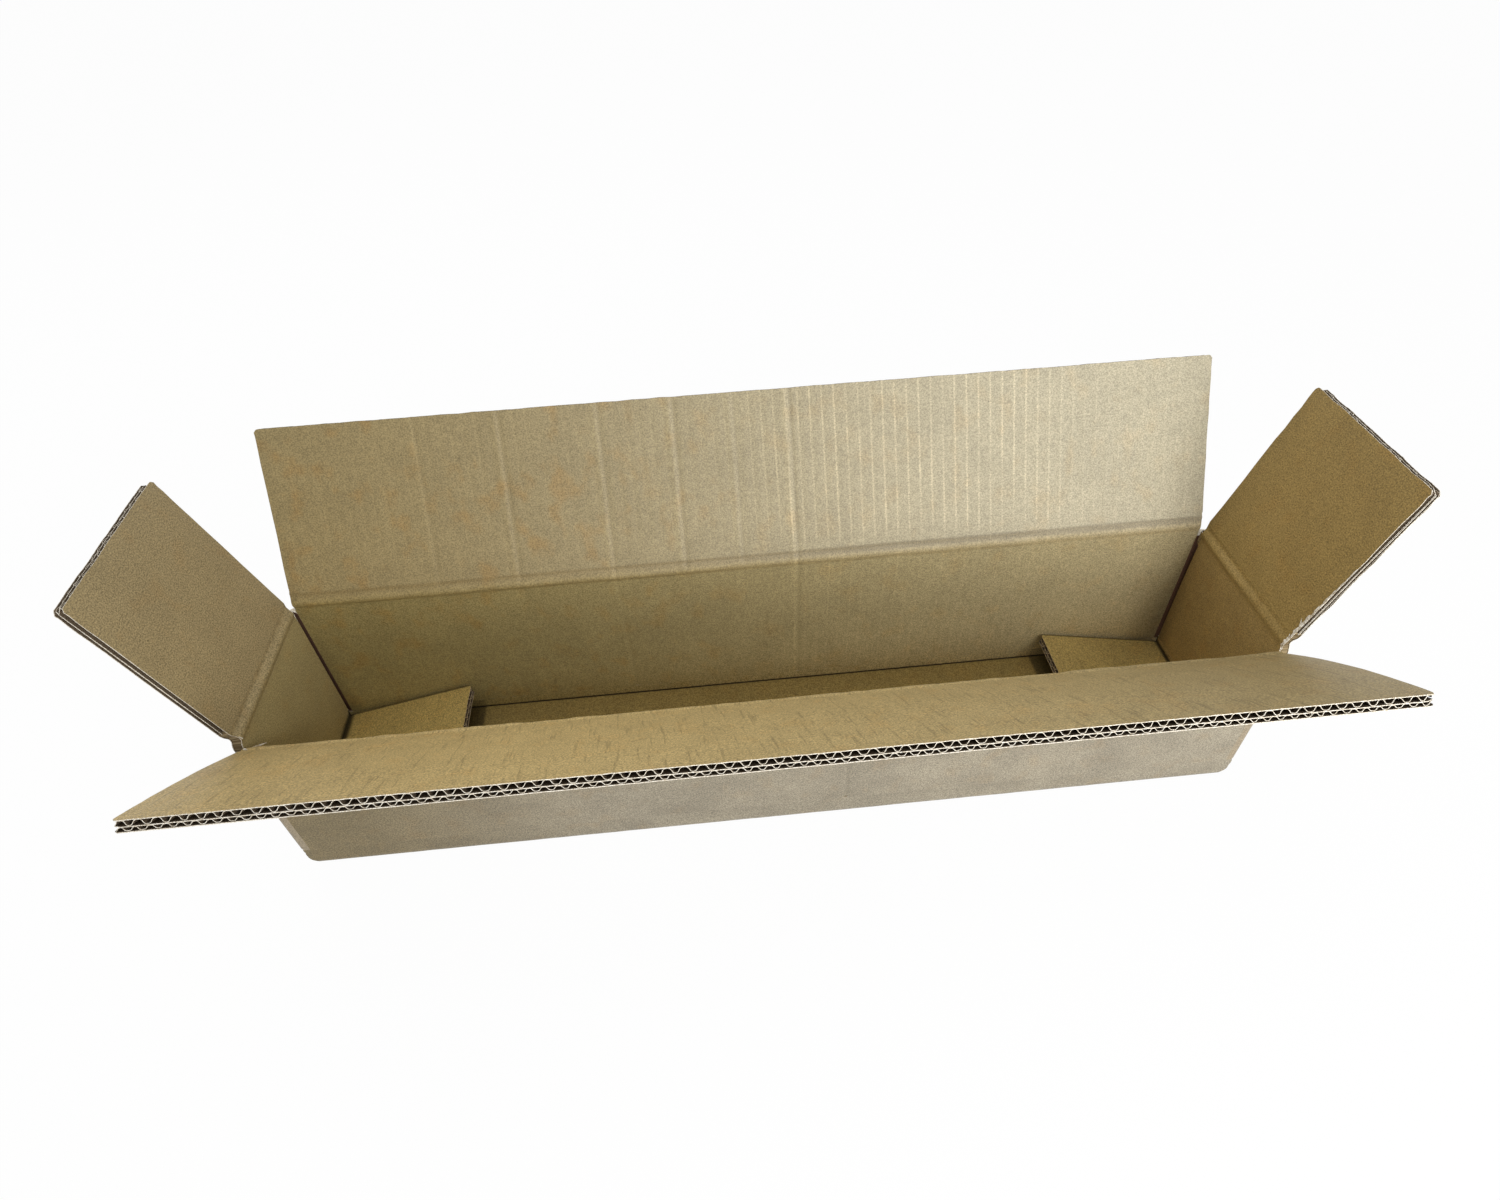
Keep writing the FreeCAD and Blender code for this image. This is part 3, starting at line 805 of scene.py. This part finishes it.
outer_base = base_flap(FRONT, HALF, 707, worn=4 * MM, dents=FRONT_DENTS)
inner_base = base_flap(REAR, FLOOR_Z - HALF, 808)
MATERIALS = make_materials()


# ---- walls, corners and the glued tab ----

def add_wall(piece, flap, low, looks, cut=None):
    """A wall under a flap, down to v = low. cut gives how far its -u edge stands back at each v."""
    v = np.linspace(low, -flap.wall, 14)[:, None]
    side = np.linspace(-1, 1, int(2 * flap.half / FINE))[None, :]
    left_edge = -flap.half + (cut(v) if cut else 0 * v)
    u = left_edge + (side + 1) / 2 * (flap.half - left_edge)
    v = v + 0 * u
    add_layer(piece, flap, flap.inner(u, v), flap.outer(u, v), (u, v), looks)


def add_prism(piece, outline, low, high, looks, cap):
    """Upright prism of a plan outline, anticlockwise from above, with a material for each of its sides."""
    count = len(outline)
    plan = np.array([outline] * 2, float).reshape(-1, 2)
    z = np.repeat([low, high], count)[:, None]
    points = np.concatenate([plan, z], 1)
    start = piece.count
    sides = [[k, (k + 1) % count, (k + 1) % count + count, k + count] for k in range(count)]
    caps = [list(range(count, 2 * count)), list(range(count))[::-1]]
    piece.faces += [[start + k for k in face] for face in sides + caps]
    piece.looks += list(looks) + [cap, cap]
    piece.points.append(points)
    piece.sheet.append(points[:, [0, 2, 1]])        # u along the box and v upward, near enough for a corner
    piece.count += 2 * count


def arc(x, y, radius, first, last, steps=8):
    """Points round a centre, from the first to the last angle in degrees."""
    angles = [math.radians(first + (last - first) * k / steps) for k in range(steps + 1)]
    return [(x + radius * math.cos(a), y + radius * math.sin(a)) for a in angles]


def corner_outline(flip_x, flip_y):
    """Plan of a folded corner, whose board is pinched to a valley inside, and the material of each side."""
    x1, y1 = HALF_L + 2 * HALF, HALF_W + 2 * HALF
    outline = arc(x1 - CORNER_R, y1 - CORNER_R, CORNER_R, 0, 90)
    outline = [(x1, END_HALF)] + outline + [(LONG_HALF, y1), (LONG_HALF, HALF_W), (HALF_L - NOTCH, HALF_W)]
    outline += [(HALF_L + NOTCH_DEEP, HALF_W + NOTCH_DEEP), (HALF_L, HALF_W - NOTCH), (HALF_L, END_HALF)]
    looks = ["outside"] * (len(outline) - 6) + ["cut", "front", "notch", "notch", "left", "cut"]
    outline = [(x * flip_x, y * flip_y) for x, y in outline]
    if flip_x * flip_y < 0:         # one flip alone would leave it clockwise
        outline = outline[::-1]
        looks = looks[-2::-1] + looks[-1:]
    return outline, looks


def add_corners(piece):
    for flip_x, flip_y, high in ((1, -1, FRONT_Z), (-1, -1, FRONT_Z), (-1, 1, END_Z)):
        outline, looks = corner_outline(flip_x, flip_y)
        add_prism(piece, outline, SLOT_TOP, high - SLOT_END, looks, "cut")


def add_glued_corner(piece):
    """The rear wall folds round the right end wall's cut edge."""
    x1, y1 = HALF_L + 2 * HALF + TAB, HALF_W + 2 * HALF
    outline = [(LONG_HALF, HALF_W), (HALF_L + 2 * HALF, HALF_W), (x1, HALF_W)]
    outline += arc(x1 - CORNER_R, y1 - CORNER_R, CORNER_R, 0, 90) + [(LONG_HALF, y1)]
    looks = ["notch", "dull_cut"] + ["outside"] * (len(outline) - 3) + ["cut"]
    add_prism(piece, outline, SLOT_TOP, END_Z - SLOT_END, looks, "cut")


def add_tab(piece):
    """The glued tab on the outside of the right end wall, crushed thin towards its free edge."""
    width, end_gap, taper = 32 * MM, 18 * MM, 10 * MM
    thinned, flank = 0.6, 0.14          # shares of its thickness and of its width
    share = np.linspace(0, 1, 24)[:, None]
    side = np.linspace(-1, 1, 60)[None, :]
    middle = (FOOT_Z + END_Z) / 2
    half = (END_Z - FOOT_Z) / 2 - end_gap - taper * share
    z = middle - side * half
    y = HALF_W - width * share + 0.2 * MM * wander(z, 3 * MM, 77) * (share > 0.98)
    thin = thinned * smooth((share - 1 + flank) / flank) + 0 * side
    x = HALF_L + 2 * HALF + 0.05 * MM
    outer = x + TAB * (1 - thin) + 0.04 * MM * np.sin(2 * math.pi * y / B_PITCH)
    front, back = np.stack([x + 0 * z, y, z], -1), np.stack([outer, y, z], -1)
    piece.slab(front, back, np.stack([y, z, outer], -1), ("medium", "outside", "cut"))


def cut_edge(v):
    """How far the right end wall's cut edge stands back from the flap's side edge: more at the top."""
    return (CUT_GAP - SIDE_GAP + CUT_SLANT * smooth(1 + v / (60 * MM))) * np.ones_like(v)


def add_curl(piece):
    """A rolled end of torn liner, at the top of the gap beside the glued corner."""
    turns = np.radians(np.linspace(-60, 230, 24))[None, :]
    z = END_Z + np.linspace(-8, 1.5, 5)[:, None] * MM
    radius = 1.75 * MM + 0.1 * MM * wander(z, 2 * MM, 91)
    x, y = HALF_L + 1.2 * MM, HALF_W - 2 * MM

    def shell(r):
        return np.stack(np.broadcast_arrays(x + r * np.cos(turns), y + r * np.sin(turns), z), -1)

    inside = shell(radius - LINER)
    piece.slab(shell(radius), inside, inside, ("crushed", "notch", "torn"))


def build_walls():
    piece = Piece("box_walls")
    foot_top = left_foot.fold.corner[2] + ZONE - END_Z
    add_wall(piece, rear, SLOT_TOP - REAR_Z, ("rear", "outside", "cut"))
    add_wall(piece, front, SLOT_TOP - FRONT_Z, ("front", "front_outside", "cut"))
    add_wall(piece, left, foot_top, ("left", "outside", "cut"))
    add_wall(piece, right, foot_top, ("right", "outside", "notch"), cut=cut_edge)
    add_corners(piece)
    add_glued_corner(piece)
    add_tab(piece)
    add_curl(piece)
    return piece.make(MATERIALS)


# ---- the whole box ----

def dress():
    """Every piece of the box; the walls and the two long bottom flaps are put on the box's body."""
    walls = build_walls()
    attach(walls, "box")
    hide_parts("box_body")
    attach(build_flap("outer_bottom_flap", outer_base, "base", "base_outside", fine=BASE_FINE), "box")
    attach(build_flap("inner_bottom_flap", inner_base, "base", "outside", fine=BASE_FINE), "box")
    folding = [
        ("rear_flap", rear, "rear", "rear_top_flap"),
        ("front_flap", front, "front", "front_top_flap"),
        ("left_end_flap", left, "left", "left_top_flap"),
        ("right_end_flap", right, "right", "right_top_flap"),
        ("left_bottom_flap", left_foot, "left_foot", "left_floor_flap"),
        ("right_bottom_flap", right_foot, "right_foot", "right_floor_flap"),
    ]
    for node, flap, look, body in folding:
        board = build_flap(node + "_board", flap, look, "front_outside" if flap is front else "outside")
        flap.fold.blend(board, "box", body)
        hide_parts(node)


# ---- floor, light and camera ----

def seen(tree):
    """1 for the camera's rays and for what metal or glass mirrors, else 0."""
    path = tree.nodes.new("ShaderNodeLightPath")
    total = path.outputs["Is Camera Ray"]
    for name in ("Is Glossy Ray", "Is Transmission Ray"):
        largest = tree.nodes.new("ShaderNodeMath")
        largest.operation = "MAXIMUM"
        tree.links.new(total, largest.inputs[0])
        tree.links.new(path.outputs[name], largest.inputs[1])
        total = largest.outputs[0]
    return total


def floor_material():
    """Seen as white, with a trace of the box's shadow."""
    material = bpy.data.materials.new("pale_floor")
    material.use_nodes = True
    tree = material.node_tree
    nodes, links = tree.nodes, tree.links
    nodes.clear()
    paint = nodes.new("ShaderNodeBsdfDiffuse")
    paint.inputs["Color"].default_value = linear(232, 232, 232)
    glow = nodes.new("ShaderNodeEmission")
    share = nodes.new("ShaderNodeMath")
    share.operation = "MULTIPLY"
    share.inputs[1].default_value = FLOOR_GLOW
    mixed = nodes.new("ShaderNodeMixShader")
    output = nodes.new("ShaderNodeOutputMaterial")
    links.new(seen(tree), share.inputs[0])
    links.new(share.outputs[0], mixed.inputs[0])
    links.new(paint.outputs[0], mixed.inputs[1])
    links.new(glow.outputs[0], mixed.inputs[2])
    links.new(mixed.outputs[0], output.inputs[0])
    return material


def add_stage():
    mesh = bpy.data.meshes.new("floor")
    reach = FLOOR_REACH
    corners = [(-reach, -reach, 0), (reach, -reach, 0), (reach, reach, 0), (-reach, reach, 0)]
    mesh.from_pydata(corners, [], [(0, 1, 2, 3)])
    mesh.materials.append(floor_material())
    floor = bpy.data.objects.new("floor", mesh)
    bpy.context.scene.collection.objects.link(floor)


def add_world():
    """White as far as it is seen, and dimmer as a light on the box."""
    world = bpy.data.worlds.new("studio")
    bpy.context.scene.world = world
    world.use_nodes = True
    tree = world.node_tree
    background = tree.nodes["Background"]
    background.inputs["Color"].default_value = (1, 1, 1, 1)
    strength = tree.nodes.new("ShaderNodeMapRange")
    strength.inputs["To Min"].default_value = WORLD_LIGHT
    strength.inputs["To Max"].default_value = 1.0
    tree.links.new(seen(tree), strength.inputs["Value"])
    tree.links.new(strength.outputs[0], background.inputs["Strength"])


def add_lamp(name, place, target, size, power):
    lamp = bpy.data.lights.new(name, "AREA")
    lamp.shape = "RECTANGLE"
    lamp.size, lamp.size_y = size
    lamp.energy = power
    obj = bpy.data.objects.new(name, lamp)
    bpy.context.scene.collection.objects.link(obj)
    obj.location = place
    obj.rotation_euler = (Vector(target) - Vector(place)).to_track_quat("-Z", "Y").to_euler()


def add_camera():
    """The photograph's viewpoint: above the front of the box, a little turned and rolled."""
    camera = bpy.data.cameras.new("camera")
    camera.lens = LENS
    camera.sensor_width = 36.0
    obj = bpy.data.objects.new("camera", camera)
    bpy.context.scene.collection.objects.link(obj)
    right = Vector(CAMERA_RIGHT).normalized()
    forward = Vector(CAMERA_FORWARD).normalized()
    up = right.cross(forward).normalized()
    right = forward.cross(up)
    turn = Matrix((right, up, -forward)).transposed().to_4x4()
    obj.matrix_world = Matrix.Translation(CAMERA_PLACE) @ turn
    bpy.context.scene.camera = obj


WORLD_LIGHT = 0.35
FLOOR_GLOW = 0.97           # how much of the floor's look is plain white; the rest shows the shadow
FLOOR_REACH = 30.0          # half of the floor's side
LENS = 20.71
CAMERA_PLACE = (-0.0305, -0.3741, 0.5125)
CAMERA_RIGHT = (0.9952, -0.0911, -0.0342)
CAMERA_FORWARD = (0.0418, 0.7180, -0.6948)

dress()
add_stage()
add_world()
add_lamp("key", (0.68, -1.15, 0.88), (0.2, 0.1, 0.15), (0.8, 0.8), 8.1)
add_lamp("near_key", (0.42, -0.8, 0.55), (0.2, 0.1, 0.12), (0.5, 0.5), 5.4)
add_lamp("top", (0, 0.1, 1.5), (0, 0, 0), (0.8, 0.8), 4.1)
add_lamp("back", (-0.8, 0.9, 1.2), (0, 0, 0.1), (0.6, 0.6), 5.4)
add_camera()
bpy.context.scene.view_settings.view_transform = "Standard"
